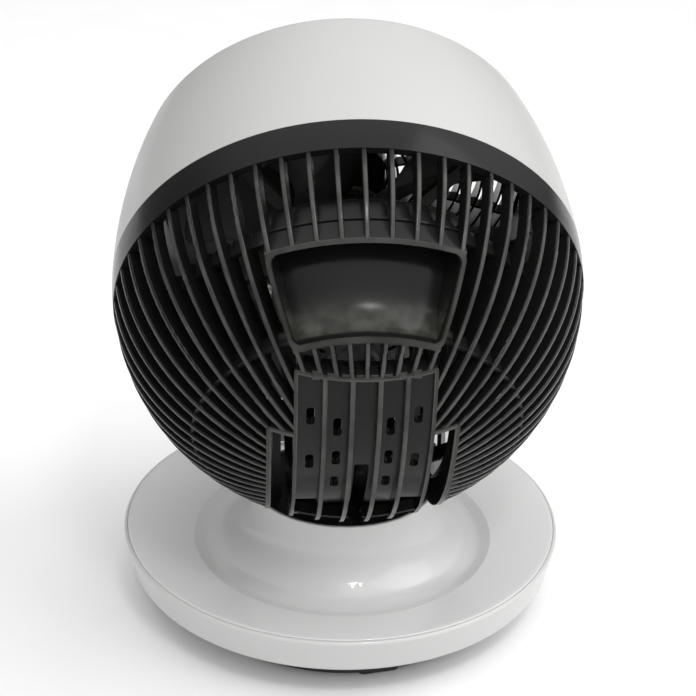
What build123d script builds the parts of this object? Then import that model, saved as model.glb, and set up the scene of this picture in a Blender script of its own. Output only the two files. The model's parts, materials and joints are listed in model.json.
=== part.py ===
from build123d import *
from math import sin, cos, tan, pi, sqrt, radians, degrees, asin, acos, atan2, hypot
import os

# ---------------------------------------------------------------------------
# Air circulator fan with a spherical head on a round swivelling base.
# Millimetres, +Z up, origin under the middle of the object on the surface it
# stands on.  The air leaves towards -Y, the rear guard faces +Y.
# ---------------------------------------------------------------------------

# overall
HEAD_R = 125.0            # radius of the spherical rear guard
HEAD_Z = 189.6            # height of the tilt axis, the centre of the sphere
NECK_Y = 8.5              # swivel axis, forward/back place in the row frame
TILT = 28.0               # head looks up by this much as it stands
# base disc
DISC_DY = -15.0           # disc centre lies this far in front of the swivel axis
DISC_R = 127.0
DISC_TOP = 40.6
DISC_DIP = 2.7            # the disc's top falls this much towards the neck
BAND_H = 22.1
BAND_BOTTOM = DISC_TOP - BAND_H
BAND_BOTTOM_R = 123.2
WALL = 2.5
COVER_R = DISC_R - 2.1
D = DISC_TOP
# foot
FOOT_R = 89.6
FOOT_TOP = 16.6
PAD_H = 2.4
# neck
NECK_R = 53.0
NECK_BORE = 50.5
LIP_REAR = 72.0
LIP_FRONT = 68.1
TROUGH_R = 86.0           # where the trough around the neck meets the disc
# rear guard
RIB_COUNT = 60
RIB_T = 2.6
RIB_R = 124.7
RIB_SHALLOW_R = 118.4
RIB_DEEP_R = 111.5
RING_O = (105.5, 48.0)    # outer cross ring: radius, station behind the centre
RING_I = (81.2, 89.0)     # inner cross ring
BAND_A0, BAND_A1 = 1.0, 18.0
POCKET_TOP, POCKET_BOTTOM = 60.0, 40.6   # handle recess, angles from the rear pole
POCKET_HALF = 24.0
PLATE_H = 31.5            # half width of the tail plate, to its border ribs
PLATE_W = 64.4            # height of the plate's top wall above the head axis
WINDOW_H = 44.6           # outer bars of the two yoke windows
WINDOW_W = 33.2           # top bar of the two yoke windows
PLATE_R = 117.6           # outer face of the tail plate, about the tilt axis
PLATE_END = -33.0         # lower edge of the plate
PLATE_BAR = -44.0         # cross bar below it
SKIN_R, SKIN_TOP = 119.6, -50.0   # skin below it, down to the rim band
# yoke
ARM_IN, ARM_OUT = 36.2, 41.0
ARM_HALF = 10.0
PIN_R = 3.95
# fan
DUCT_R = 104.0
HUB_R = 27.0
POST_R = 105.3            # posts of the front grille
BLADES = 7
# swivel gears
GEAR_M = 1.0
GEAR_T, PINION_T = 48, 12
GEAR_CD = GEAR_M * (GEAR_T + PINION_T) / 2
# buttons
BUTTON_X = (-36.0, -18.0, 0.0, 18.0, 36.0)
BUTTON_R = 5.5
PANEL_Y = NECK_Y - 114.0

os.makedirs("parts", exist_ok=True)

# --- planes ----------------------------------------------------------------
tau = radians(TILT)
REAR = Vector(0, cos(tau), -sin(tau))      # along the head's axis, to the rear
UP = Vector(0, sin(tau), cos(tau))         # the head's own up
SIDE = Vector(1, 0, 0)
CENTRE = Vector(0, NECK_Y, HEAD_Z)
HEAD_AXIS = Axis(CENTRE, REAR)
TILT_AXIS = Axis(CENTRE, SIDE)
NECK_AXIS = Axis((0, NECK_Y, 0), (0, 0, 1))


def neck(z):
    """Horizontal plane at height z, centred on the swivel axis."""
    return Plane(origin=(0, NECK_Y, z), x_dir=(1, 0, 0), z_dir=(0, 0, 1))


def disc(z):
    """Horizontal plane at height z, centred on the base disc."""
    return Plane(origin=(0, NECK_Y + DISC_DY, z), x_dir=(1, 0, 0), z_dir=(0, 0, 1))


def front(s):
    """Plane across the head axis, s in front of the centre; sketch is (side, up)."""
    return Plane(origin=CENTRE - REAR * s, x_dir=SIDE, z_dir=REAR * -1)


def meridian(phi):
    """Plane through the head axis; sketch is (rear, outwards), phi from the top."""
    p = radians(phi)
    out = UP * cos(p) + SIDE * sin(p)
    return Plane(origin=CENTRE, x_dir=REAR, z_dir=REAR.cross(out))


def lateral(h):
    """Plane across the tilt axis at side position h; sketch is (rear, up)."""
    return Plane(origin=CENTRE + SIDE * h, x_dir=REAR, z_dir=SIDE)


NECK_RZ = Plane(origin=(0, NECK_Y, 0), x_dir=(1, 0, 0), z_dir=(0, -1, 0))
DISC_RZ = Plane(origin=(0, NECK_Y + DISC_DY, 0), x_dir=(1, 0, 0), z_dir=(0, -1, 0))
DISC_AXIS = Axis((0, NECK_Y + DISC_DY, 0), (0, 0, 1))


def shell_r(s):
    """Outer radius of the front shell, s in front of the centre."""
    u = s / HEAD_R
    return HEAD_R * (1 - 0.0043 * u - 0.2205 * u * u)


def on(radius, angle):
    """Point on a circle about the sketch origin."""
    return (radius * cos(radians(angle)), radius * sin(radians(angle)))


def gear_points(teeth, m, phase, thin):
    """Involute outline, 20 degrees, thinned by thin millimetres for backlash."""
    alpha = radians(20)
    rp, rb = m * teeth / 2, m * teeth / 2 * cos(alpha)
    ra, rf = rp + 0.92 * m, rp - 1.2 * m
    inv = tan(alpha) - alpha
    half = (pi * m / 2 - thin) / 2 / rp + inv
    r0 = max(rb, rf)
    pts = []
    for k in range(teeth):
        c = radians(phase) + 2 * pi * k / teeth
        flank = []
        for i in range(5):
            r = r0 + (ra - r0) * i / 4
            a = acos(min(1, rb / r))
            flank.append((r, half - (tan(a) - a)))
        pts.append((rf * cos(c - flank[0][1]), rf * sin(c - flank[0][1]))) if rf < r0 else None
        pts += [(r * cos(c - t), r * sin(c - t)) for r, t in flank]
        pts += [(r * cos(c + t), r * sin(c + t)) for r, t in reversed(flank)]
        pts.append((rf * cos(c + flank[0][1]), rf * sin(c + flank[0][1]))) if rf < r0 else None
    return pts


# ===========================================================================
# FOOT, the part that stays still
# ===========================================================================
INLET_DIR = 238.0     # the power inlet faces this way, under the front of the disc
inlet_plane = Plane(
    origin=(FOOT_R * cos(radians(INLET_DIR)), NECK_Y + FOOT_R * sin(radians(INLET_DIR)), 9.6),
    x_dir=(-sin(radians(INLET_DIR)), cos(radians(INLET_DIR)), 0),
    z_dir=(cos(radians(INLET_DIR)), sin(radians(INLET_DIR)), 0),
)
with BuildPart() as foot_housing:
    with BuildSketch(NECK_RZ):
        with BuildLine():
            Polyline((0, FOOT_TOP - 2.6), (FOOT_R - 2.6, FOOT_TOP - 2.6), (FOOT_R - 2.6, 4.6), (FOOT_R - 0.6, 4.6),
                     (FOOT_R, 6.0), (FOOT_R - 1.2, FOOT_TOP - 2.0), (FOOT_R - 3.2, FOOT_TOP),
                     (0, FOOT_TOP), (0, FOOT_TOP - 2.6))
        make_face()
    revolve(axis=NECK_AXIS)
    with BuildSketch(neck(FOOT_TOP)):
        Circle(17.0)
    extrude(amount=10.0)
    with BuildSketch(neck(0)):
        Circle(12.5)
    extrude(amount=40, mode=Mode.SUBTRACT)
    # screw bosses for the bottom cover
    with BuildSketch(neck(4.6)):
        with PolarLocations(74, 4, start_angle=35):
            Circle(4.2)
    extrude(amount=FOOT_TOP - 2.6 - 4.6)
    with BuildSketch(neck(4.0)):
        with PolarLocations(74, 4, start_angle=35):
            Circle(1.45)
    extrude(amount=9, mode=Mode.SUBTRACT)
    # pilot holes for the retainer screws, in the top of the spindle
    with BuildSketch(neck(FOOT_TOP + 2)):
        with PolarLocations(14.75, 3, start_angle=30):
            Circle(0.95)
    extrude(amount=12, mode=Mode.SUBTRACT)
    # mouth for the power inlet
    with BuildSketch(inlet_plane.offset(3)):
        Rectangle(11.2, 9.0)
    extrude(amount=-7.0, mode=Mode.SUBTRACT)
foot_housing.part.label = "foot_housing"
export_step(foot_housing.part, "parts/foot_housing.step")

with BuildPart() as foot_cover:
    with BuildSketch(neck(PAD_H - 0.2)):
        Circle(FOOT_R - 1.0)
        Circle(12.5, mode=Mode.SUBTRACT)
    extrude(amount=2.4)
    chamfer(foot_cover.edges().filter_by(GeomType.CIRCLE).group_by(SortBy.RADIUS)[-1].sort_by(Axis.Z)[0], 0.8)
    with BuildSketch(neck(PAD_H - 0.2)):
        with PolarLocations(74, 4, start_angle=35):
            Circle(1.6)
    extrude(amount=4, mode=Mode.SUBTRACT)
    with BuildSketch(neck(PAD_H - 0.2)):
        with PolarLocations(74, 4, start_angle=35):
            Circle(3.1)
    extrude(amount=1.4, mode=Mode.SUBTRACT)
foot_cover.part.label = "foot_cover"
export_step(foot_cover.part, "parts/foot_cover.step")

PAD_START = 100.0     # one pad nearly at the rear
with BuildPart() as rubber_feet:
    with BuildSketch(neck(0)):
        with PolarLocations(78.4, 4, start_angle=PAD_START):
            RectangleRounded(17.0, 23.6, 4.0)
    extrude(amount=PAD_H - 0.2)
    chamfer(rubber_feet.faces().group_by(Axis.Z)[0].edges(), 0.5)
rubber_feet.part.label = "rubber_feet"
export_step(rubber_feet.part, "parts/rubber_feet.step")

with BuildPart() as foot_screws:
    with BuildSketch(neck(PAD_H)):
        with PolarLocations(74, 4, start_angle=35):
            Circle(2.9)
    extrude(amount=1.15)
    with BuildSketch(neck(PAD_H + 1.15)):
        with PolarLocations(74, 4, start_angle=35):
            Circle(1.4)
    extrude(amount=8.2)
    with BuildSketch(neck(PAD_H)):
        with PolarLocations(74, 4, start_angle=35):
            RegularPolygon(1.2, 6)
    extrude(amount=0.7, mode=Mode.SUBTRACT)
foot_screws.part.label = "foot_screws"
export_step(foot_screws.part, "parts/foot_screws.step")

# barrel socket: a block behind the mouth, with its round opening and centre pin
with BuildPart() as power_inlet:
    with BuildSketch(inlet_plane.offset(-2.2)):
        Rectangle(10.8, 8.6)
    extrude(amount=-12.5)
    with BuildSketch(inlet_plane.offset(-2.2)):
        Circle(3.9)
    extrude(amount=1.4)
    with BuildSketch(inlet_plane.offset(-0.8)):
        Circle(2.9)
    extrude(amount=-11.0, mode=Mode.SUBTRACT)
    with BuildSketch(inlet_plane.offset(-11.8)):
        Circle(1.05)
    extrude(amount=9.6)
power_inlet.part.label = "power_inlet"
export_step(power_inlet.part, "parts/power_inlet.step")

with BuildPart() as glide_ring:
    with BuildSketch(neck(FOOT_TOP)):
        Circle(68)
        Circle(60, mode=Mode.SUBTRACT)
    extrude(amount=1.7)
glide_ring.part.label = "glide_ring"
export_step(glide_ring.part, "parts/glide_ring.step")

GEAR_Z = FOOT_TOP + 10.0 + 1.6
with BuildPart() as swivel_retainer:
    with BuildSketch(neck(FOOT_TOP + 10.0)):
        Circle(21.0)
        Circle(12.5, mode=Mode.SUBTRACT)
        with PolarLocations(14.75, 3, start_angle=30):
            Circle(1.2, mode=Mode.SUBTRACT)
    extrude(amount=1.6)
swivel_retainer.part.label = "swivel_retainer"
export_step(swivel_retainer.part, "parts/swivel_retainer.step")

with BuildPart() as swivel_gear:
    with BuildSketch(neck(GEAR_Z)):
        with BuildLine():
            Polyline(*gear_points(GEAR_T, GEAR_M, 90, 0.16), close=True)
        make_face()
        Circle(12.5, mode=Mode.SUBTRACT)
        with PolarLocations(14.75, 3, start_angle=30):
            Circle(1.2, mode=Mode.SUBTRACT)
    extrude(amount=4.0)
swivel_gear.part.label = "swivel_gear"
export_step(swivel_gear.part, "parts/swivel_gear.step")

with BuildPart() as retainer_screws:
    with BuildSketch(neck(GEAR_Z + 4.0)):
        with PolarLocations(14.75, 3, start_angle=30):
            Circle(2.0)
    extrude(amount=1.5)
    with BuildSketch(neck(GEAR_Z + 4.0)):
        with PolarLocations(14.75, 3, start_angle=30):
            Circle(0.9)
    extrude(amount=-11.0)
    with BuildSketch(neck(GEAR_Z + 5.5)):
        with PolarLocations(14.75, 3, start_angle=30):
            RegularPolygon(0.9, 6)
    extrude(amount=-0.8, mode=Mode.SUBTRACT)
retainer_screws.part.label = "retainer_screws"
export_step(retainer_screws.part, "parts/retainer_screws.step")

# ===========================================================================
# BASE, turns on the foot
# ===========================================================================
FLOOR_T = 2.4
FLOOR_TOP = BAND_BOTTOM + FLOOR_T
COVER_SCREWS = [(102, 25), (102, 155), (102, 205), (102, 335), (110, 90)]   # radius, angle about the disc centre


def cover_screw_points(z):
    return [disc(z).from_local_coords((r * cos(radians(a)), r * sin(radians(a)), 0)) for r, a in COVER_SCREWS]


with BuildPart() as base_tray:
    # tapered white band with a rolled bottom edge and a thin upstanding rim
    with BuildSketch(DISC_RZ):
        with BuildLine():
            Polyline((0, BAND_BOTTOM), (BAND_BOTTOM_R - 4.0, BAND_BOTTOM))
            ThreePointArc((BAND_BOTTOM_R - 4.0, BAND_BOTTOM), (BAND_BOTTOM_R - 1.1, BAND_BOTTOM + 1.1),
                          (BAND_BOTTOM_R + 0.2, BAND_BOTTOM + 4.0))
            Line((BAND_BOTTOM_R + 0.2, BAND_BOTTOM + 4.0), (DISC_R, DISC_TOP - 2.2))
            ThreePointArc((DISC_R, DISC_TOP - 2.2), (DISC_R - 0.5, DISC_TOP - 0.95), (DISC_R - 1.7, DISC_TOP - 0.45))
            Polyline((DISC_R - 1.7, DISC_TOP - 0.45), (DISC_R - 1.9, DISC_TOP - 0.5), (DISC_R - 1.92, DISC_TOP - 2.8),
                     (BAND_BOTTOM_R - 2.3, FLOOR_TOP + 1.0), (BAND_BOTTOM_R - 3.4, FLOOR_TOP),
                     (0, FLOOR_TOP), (0, BAND_BOTTOM))
        make_face()
    revolve(axis=DISC_AXIS)
    # hub that turns on the foot's spindle
    with BuildSketch(neck(BAND_BOTTOM)):
        Circle(22.0)
    extrude(amount=FOOT_TOP + 9.7 - BAND_BOTTOM)
    with BuildSketch(neck(0)):
        Circle(17.06)
    extrude(amount=60, mode=Mode.SUBTRACT)
    # bosses under the yoke feet
    with BuildSketch(neck(FLOOR_TOP)):
        with Locations((45.5, -9), (45.5, 9), (-45.5, -9), (-45.5, 9)):
            Circle(4.4)
    extrude(amount=3.0)
    # holes: cover screws from below, yoke screws from above
    with BuildSketch(disc(BAND_BOTTOM)):
        with Locations(*[(r * cos(radians(a)), r * sin(radians(a))) for r, a in COVER_SCREWS]):
            Circle(3.2)
    extrude(amount=1.2, mode=Mode.SUBTRACT)
    with BuildSketch(disc(BAND_BOTTOM)):
        with Locations(*[(r * cos(radians(a)), r * sin(radians(a))) for r, a in COVER_SCREWS]):
            Circle(1.7)
    extrude(amount=5, mode=Mode.SUBTRACT)
    with BuildSketch(neck(BAND_BOTTOM + 0.8)):
        with Locations((45.5, -9), (45.5, 9), (-45.5, -9), (-45.5, 9)):
            Circle(1.45)
    extrude(amount=9, mode=Mode.SUBTRACT)
base_tray.part.label = "base_tray"
export_step(base_tray.part, "parts/base_tray.step")

slope = degrees(atan2(LIP_REAR - LIP_FRONT, 2 * NECK_R))
with BuildPart() as base_cover:
    # disc around the neck, offset to the front, falling a little towards it
    with BuildSketch(disc(D - WALL)):
        Circle(COVER_R)
    extrude(amount=WALL)
    with BuildSketch(neck(D - DISC_DIP - WALL)):
        Circle(TROUGH_R + 0.4)
    with BuildSketch(disc(D - WALL)):
        Circle(COVER_R - 3.0)
    loft()
    with BuildSketch(neck(D - DISC_DIP)):
        Circle(TROUGH_R)
    with BuildSketch(disc(D)):
        Circle(COVER_R - 2.0)
    loft(mode=Mode.SUBTRACT)
    with BuildSketch(neck(D - 20)):
        Circle(TROUGH_R)
    extrude(amount=60, mode=Mode.SUBTRACT)
    # neck, concave flare and trough, turned about the swivel axis
    with BuildSketch(NECK_RZ):
        with BuildLine():
            Line((NECK_R - 0.2, LIP_REAR + 3), (NECK_R - 0.5, D + 21.5))
            Spline((NECK_R - 0.5, D + 21.5), (54.4, D + 11.2), (59.4, D + 2.8), (65.6, D - 2.6), (73.5, D - 5.6),
                   tangents=((-0.02, -1), (1, -0.06)))
            Spline((73.5, D - 5.6), (80.6, D - 4.9), (TROUGH_R, D - DISC_DIP), tangents=((1, -0.06), (1, 0.30)))
            Polyline((TROUGH_R, D - DISC_DIP), (TROUGH_R, D - DISC_DIP - WALL), (80.4, D - 4.9 - WALL), (73.6, D - 5.6 - WALL))
            Spline((73.6, D - 5.6 - WALL), (64.4, D - 4.9), (57.2, D + 1.6), (52.0, D + 10.6), (NECK_BORE, D + 21.5),
                   tangents=((-1, 0.06), (0.0, 1)))
            Polyline((NECK_BORE, D + 21.5), (NECK_BORE, LIP_REAR + 3), (NECK_R - 0.2, LIP_REAR + 3))
        make_face()
    revolve(axis=NECK_AXIS)
    # flat place for the control panel
    with BuildSketch(Plane.XY.offset(D)):
        with Locations((0, PANEL_Y)):
            RectangleRounded(102, 31, 10)
    extrude(amount=-3.6)
    # the neck's rim slopes a little down to the front
    with BuildSketch(Plane(origin=(0, NECK_Y, (LIP_REAR + LIP_FRONT) / 2), x_dir=(1, 0, 0),
                           z_dir=Vector(0, -sin(radians(slope)), cos(radians(slope))))):
        Rectangle(140, 140)
    extrude(amount=20, mode=Mode.SUBTRACT)
    fillet(base_cover.edges().filter_by(lambda e: e.center().Z > D + 24 and e.length > 280), 0.85)
    # rounded outer edge of the disc
    fillet(base_cover.edges().filter_by(GeomType.CIRCLE).filter_by(
        lambda e: abs(e.radius - COVER_R) < 0.01 and e.center().Z > DISC_TOP - 0.1), 0.6)
    # recess and opening for the control panel
    with BuildSketch(Plane.XY.offset(DISC_TOP)):
        with Locations((0, PANEL_Y)):
            RectangleRounded(98, 27, 8)
    extrude(amount=-1.5, mode=Mode.SUBTRACT)
    with BuildSketch(Plane.XY.offset(DISC_TOP)):
        with Locations((0, PANEL_Y)):
            RectangleRounded(92, 21, 6)
    extrude(amount=-6, mode=Mode.SUBTRACT)
    # screw bosses down to the tray
    with BuildSketch(disc(DISC_TOP - WALL)):
        with Locations(*[(r * cos(radians(a)), r * sin(radians(a))) for r, a in COVER_SCREWS]):
            Circle(4.0)
    extrude(amount=-(DISC_TOP - WALL - FLOOR_TOP - 0.05))
    with BuildSketch(disc(FLOOR_TOP)):
        with Locations(*[(r * cos(radians(a)), r * sin(radians(a))) for r, a in COVER_SCREWS]):
            Circle(1.4)
    extrude(amount=8.5, mode=Mode.SUBTRACT)
base_cover.part.label = "base_cover"
export_step(base_cover.part, "parts/base_cover.step")

with BuildPart() as cover_screws:
    with BuildSketch(disc(BAND_BOTTOM + 0.05)):
        with Locations(*[(r * cos(radians(a)), r * sin(radians(a))) for r, a in COVER_SCREWS]):
            Circle(3.0)
    extrude(amount=1.1)
    with BuildSketch(disc(BAND_BOTTOM + 1.15)):
        with Locations(*[(r * cos(radians(a)), r * sin(radians(a))) for r, a in COVER_SCREWS]):
            Circle(1.35)
    extrude(amount=8.6)
    with BuildSketch(disc(BAND_BOTTOM + 0.05)):
        with Locations(*[(r * cos(radians(a)), r * sin(radians(a))) for r, a in COVER_SCREWS]):
            RegularPolygon(1.2, 6)
    extrude(amount=0.7, mode=Mode.SUBTRACT)
cover_screws.part.label = "cover_screws"
export_step(cover_screws.part, "parts/cover_screws.step")

# black dished collar that closes the neck's mouth around the yoke
DISH_R = 188.0
with BuildPart() as neck_collar:
    with BuildSketch(neck(D + 14)):
        Circle(NECK_BORE - 0.15)
    extrude(amount=20)
    with BuildSketch(Plane(origin=(0, NECK_Y - 6.9, D + 21.0 + DISH_R), x_dir=(1, 0, 0), z_dir=(0, -1, 0))):
        with BuildLine():
            CenterArc((0, 0), DISH_R, -90, 90)
            Polyline((DISH_R, 0), (0, 0), (0, -DISH_R))
        make_face()
    revolve(axis=Axis((0, NECK_Y - 6.9, 0), (0, 0, 1)), mode=Mode.SUBTRACT)
    with BuildSketch(neck(D + 13)):
        Circle(NECK_BORE - 2.6)
    extrude(amount=5.6, mode=Mode.SUBTRACT)
    with BuildSketch(neck(D + 4)):
        with Locations(((ARM_IN + ARM_OUT) / 2, 0), (-(ARM_IN + ARM_OUT) / 2, 0)):
            Rectangle(ARM_OUT - ARM_IN + 0.8, 2 * ARM_HALF + 0.8)
    extrude(amount=60, mode=Mode.SUBTRACT)
neck_collar.part.label = "neck_collar"
export_step(neck_collar.part, "parts/neck_collar.step")

# yoke: two arms, a cross tie and two feet
with BuildPart() as yoke:
    for side in (1, -1):
        with BuildSketch(Plane(origin=(side * ARM_IN, NECK_Y, 0), x_dir=(0, 1, 0), z_dir=(1, 0, 0))):
            with BuildLine():
                Polyline((-16, FLOOR_TOP + 3.0), (16, FLOOR_TOP + 3.0), (16, FLOOR_TOP + 7.0), (ARM_HALF, D + 8),
                         (ARM_HALF, HEAD_Z))
                CenterArc((0, HEAD_Z), ARM_HALF, 0, 180)
                Polyline((-ARM_HALF, HEAD_Z), (-ARM_HALF, D + 8), (-16, FLOOR_TOP + 7.0), (-16, FLOOR_TOP + 3.0))
            make_face()
        extrude(amount=side * (ARM_OUT - ARM_IN))
        with BuildSketch(neck(FLOOR_TOP + 3.0)):
            with Locations((side * (ARM_IN + 6.9), 0)):
                RectangleRounded(13.8, 30, 3)
        extrude(amount=3.2)
    with BuildSketch(neck(D + 7.5)):
        Rectangle(2 * ARM_IN + 1, 2 * ARM_HALF)
    extrude(amount=4.0)
    # pivot bores and screw holes
    with BuildSketch(Plane(origin=(-60, NECK_Y, HEAD_Z), x_dir=(0, 1, 0), z_dir=(1, 0, 0))):
        Circle(5.5)
    extrude(amount=120, mode=Mode.SUBTRACT)
    with BuildSketch(neck(FLOOR_TOP + 2)):
        with Locations((45.5, -9), (45.5, 9), (-45.5, -9), (-45.5, 9)):
            Circle(1.7)
    extrude(amount=8, mode=Mode.SUBTRACT)
yoke.part.label = "yoke"
export_step(yoke.part, "parts/yoke.step")

with BuildPart() as yoke_screws:
    with BuildSketch(neck(FLOOR_TOP + 6.2)):
        with Locations((45.5, -9), (45.5, 9), (-45.5, -9), (-45.5, 9)):
            Circle(3.0)
    extrude(amount=1.8)
    with BuildSketch(neck(FLOOR_TOP + 6.2)):
        with Locations((45.5, -9), (45.5, 9), (-45.5, -9), (-45.5, 9)):
            Circle(1.4)
    extrude(amount=-7.5)
    with BuildSketch(neck(FLOOR_TOP + 8.0)):
        with Locations((45.5, -9), (45.5, 9), (-45.5, -9), (-45.5, 9)):
            RegularPolygon(1.3, 6)
    extrude(amount=-1.0, mode=Mode.SUBTRACT)
yoke_screws.part.label = "yoke_screws"
export_step(yoke_screws.part, "parts/yoke_screws.step")

with BuildPart() as tilt_bushes:
    for side in (1, -1):
        with BuildSketch(Plane(origin=(side * ARM_IN, NECK_Y, HEAD_Z), x_dir=(0, 1, 0), z_dir=(1, 0, 0))):
            Circle(5.5)
            Circle(PIN_R + 0.06, mode=Mode.SUBTRACT)
        extrude(amount=side * (ARM_OUT - ARM_IN + 0.2))
tilt_bushes.part.label = "tilt_bushes"
export_step(tilt_bushes.part, "parts/tilt_bushes.step")

with BuildPart() as ballast_ring:
    with BuildSketch(neck(FLOOR_TOP)):
        Circle(79.0)
        Circle(59.0, mode=Mode.SUBTRACT)
    extrude(amount=6.5)
    with BuildSketch(disc(FLOOR_TOP)):
        with Locations(*[(r * cos(radians(a)), r * sin(radians(a))) for r, a in COVER_SCREWS]):
            Circle(5.0)
    extrude(amount=8, mode=Mode.SUBTRACT)
    chamfer(ballast_ring.faces().sort_by(Axis.Z)[-1].edges().filter_by(
        lambda e: e.length > 100), 1.0)
ballast_ring.part.label = "ballast_ring"
export_step(ballast_ring.part, "parts/ballast_ring.step")

with BuildPart() as control_panel:
    with BuildSketch(Plane.XY.offset(DISC_TOP - 1.5)):
        with Locations((0, PANEL_Y)):
            RectangleRounded(97.6, 26.6, 7.8)
    extrude(amount=1.8)
    fillet(control_panel.faces().sort_by(Axis.Z)[-1].edges(), 0.5)
    with BuildSketch(Plane.XY.offset(DISC_TOP - 1.5)):
        with Locations((0, PANEL_Y)):
            RectangleRounded(91.6, 20.6, 5.8)
            RectangleRounded(88.4, 17.4, 4, mode=Mode.SUBTRACT)
    extrude(amount=-2.5)
    with BuildSketch(Plane.XY.offset(DISC_TOP - 6)):
        with Locations(*[(x, PANEL_Y - 2.0) for x in BUTTON_X]):
            Circle(BUTTON_R + 0.3)
        with Locations((0, PANEL_Y + 8.6)):
            SlotOverall(46, 2.6)
    extrude(amount=12, mode=Mode.SUBTRACT)
control_panel.part.label = "control_panel"
export_step(control_panel.part, "parts/control_panel.step")

with BuildPart() as indicator_window:
    with BuildSketch(Plane.XY.offset(DISC_TOP - 1.4)):
        with Locations((0, PANEL_Y + 8.6)):
            SlotOverall(45.8, 2.4)
    extrude(amount=1.8)
indicator_window.part.label = "indicator_window"
export_step(indicator_window.part, "parts/indicator_window.step")

BOARD_Z = 28.8
with BuildPart() as control_board:
    with BuildSketch(Plane.XY.offset(BOARD_Z)):
        with Locations((0, PANEL_Y)):
            Rectangle(90, 24)
        with Locations((40, PANEL_Y + 8), (-40, PANEL_Y + 8), (40, PANEL_Y - 8), (-40, PANEL_Y - 8)):
            Circle(1.6, mode=Mode.SUBTRACT)
    extrude(amount=1.6)
    # tact switches, indicator lamps and a few parts
    with BuildSketch(Plane.XY.offset(BOARD_Z + 1.6)):
        with Locations(*[(x, PANEL_Y - 2.0) for x in BUTTON_X]):
            Rectangle(6.0, 6.0)
        with Locations(*[(x, PANEL_Y + 8.6) for x in (-16, -8, 0, 8, 16)]):
            Rectangle(2.0, 1.4)
    extrude(amount=3.0)
    with BuildSketch(Plane.XY.offset(BOARD_Z + 4.6)):
        with Locations(*[(x, PANEL_Y - 2.0) for x in BUTTON_X]):
            Circle(1.7)
    extrude(amount=0.7)
    with BuildSketch(Plane.XY.offset(BOARD_Z)):
        with Locations((24, PANEL_Y + 3), (-24, PANEL_Y + 2)):
            Rectangle(9, 7)
    extrude(amount=-2.0)
control_board.part.label = "control_board"
export_step(control_board.part, "parts/control_board.step")

with BuildPart() as board_spacers:
    with BuildSketch(Plane.XY.offset(FLOOR_TOP)):
        with Locations((40, PANEL_Y + 8), (-40, PANEL_Y + 8), (40, PANEL_Y - 8), (-40, PANEL_Y - 8)):
            Circle(2.6)
    extrude(amount=BOARD_Z - FLOOR_TOP)
    with BuildSketch(Plane.XY.offset(BOARD_Z)):
        with Locations((40, PANEL_Y + 8), (-40, PANEL_Y + 8), (40, PANEL_Y - 8), (-40, PANEL_Y - 8)):
            Circle(1.5)
    extrude(amount=2.6)
board_spacers.part.label = "board_spacers"
export_step(board_spacers.part, "parts/board_spacers.step")

BUTTON_NAMES = ("button_power", "button_speed", "button_timer", "button_swing", "button_mode")
for name, bx in zip(BUTTON_NAMES, BUTTON_X):
    with BuildPart() as button:
        with BuildSketch(Plane.XY.offset(DISC_TOP - 2.0)):
            with Locations((bx, PANEL_Y - 2.0)):
                Circle(BUTTON_R)
        extrude(amount=3.4)
        fillet(button.edges().filter_by(GeomType.CIRCLE).sort_by(Axis.Z)[-1], 0.7)
        # shallow dish for the fingertip
        with BuildSketch(Plane(origin=(bx, PANEL_Y - 2.0, DISC_TOP + 1.4 + 19.55), x_dir=(1, 0, 0), z_dir=(0, -1, 0))):
            with BuildLine():
                CenterArc((0, 0), 20.0, -90, 90)
                Polyline((20.0, 0), (0, 0), (0, -20.0))
            make_face()
        revolve(axis=Axis((bx, PANEL_Y - 2.0, 0), (0, 0, 1)), mode=Mode.SUBTRACT)
        # collar under the panel and the stem over the switch
        with BuildSketch(Plane.XY.offset(DISC_TOP - 2.0)):
            with Locations((bx, PANEL_Y - 2.0)):
                Circle(6.1)
        extrude(amount=-0.9)
        with BuildSketch(Plane.XY.offset(DISC_TOP - 2.9)):
            with Locations((bx, PANEL_Y - 2.0)):
                Circle(2.2)
        extrude(amount=-(DISC_TOP - 2.9 - (BOARD_Z + 5.3) - 1.0))
    button.part.label = name
    export_step(button.part, "parts/" + name + ".step")

# geared motor that swings the base
MOT_Y = NECK_Y + GEAR_CD
MOT_Z = GEAR_Z + 5.4
with BuildPart() as swivel_motor:
    with BuildSketch(Plane(origin=(0, MOT_Y, MOT_Z), x_dir=(1, 0, 0), z_dir=(0, 0, 1))):
        Circle(12.5)
    extrude(amount=9.4)
    fillet(swivel_motor.edges().filter_by(GeomType.CIRCLE).sort_by(Axis.Z)[-1], 1.2)
    # mounting ears and their legs down to the tray
    with BuildSketch(Plane(origin=(0, MOT_Y, MOT_Z), x_dir=(1, 0, 0), z_dir=(0, 0, 1))):
        with Locations((0, 0)):
            SlotOverall(42, 7)
            Circle(10, mode=Mode.SUBTRACT)
    extrude(amount=1.0)
    with BuildSketch(Plane(origin=(0, MOT_Y, FLOOR_TOP), x_dir=(1, 0, 0), z_dir=(0, 0, 1))):
        with Locations((17.5, 0), (-17.5, 0)):
            Circle(3.2)
    extrude(amount=MOT_Z - FLOOR_TOP)
swivel_motor.part.label = "swivel_motor"
export_step(swivel_motor.part, "parts/swivel_motor.step")

with BuildPart() as swivel_pinion:
    with BuildSketch(Plane(origin=(0, MOT_Y, GEAR_Z), x_dir=(1, 0, 0), z_dir=(0, 0, 1))):
        with BuildLine():
            Polyline(*gear_points(PINION_T, GEAR_M, -90 + 180.0 / PINION_T, 0.16), close=True)
        make_face()
    extrude(amount=4.0)
    with BuildSketch(Plane(origin=(0, MOT_Y, GEAR_Z + 4.0), x_dir=(1, 0, 0), z_dir=(0, 0, 1))):
        Circle(2.4)
    extrude(amount=1.2)
swivel_pinion.part.label = "swivel_pinion"
export_step(swivel_pinion.part, "parts/swivel_pinion.step")

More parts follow.
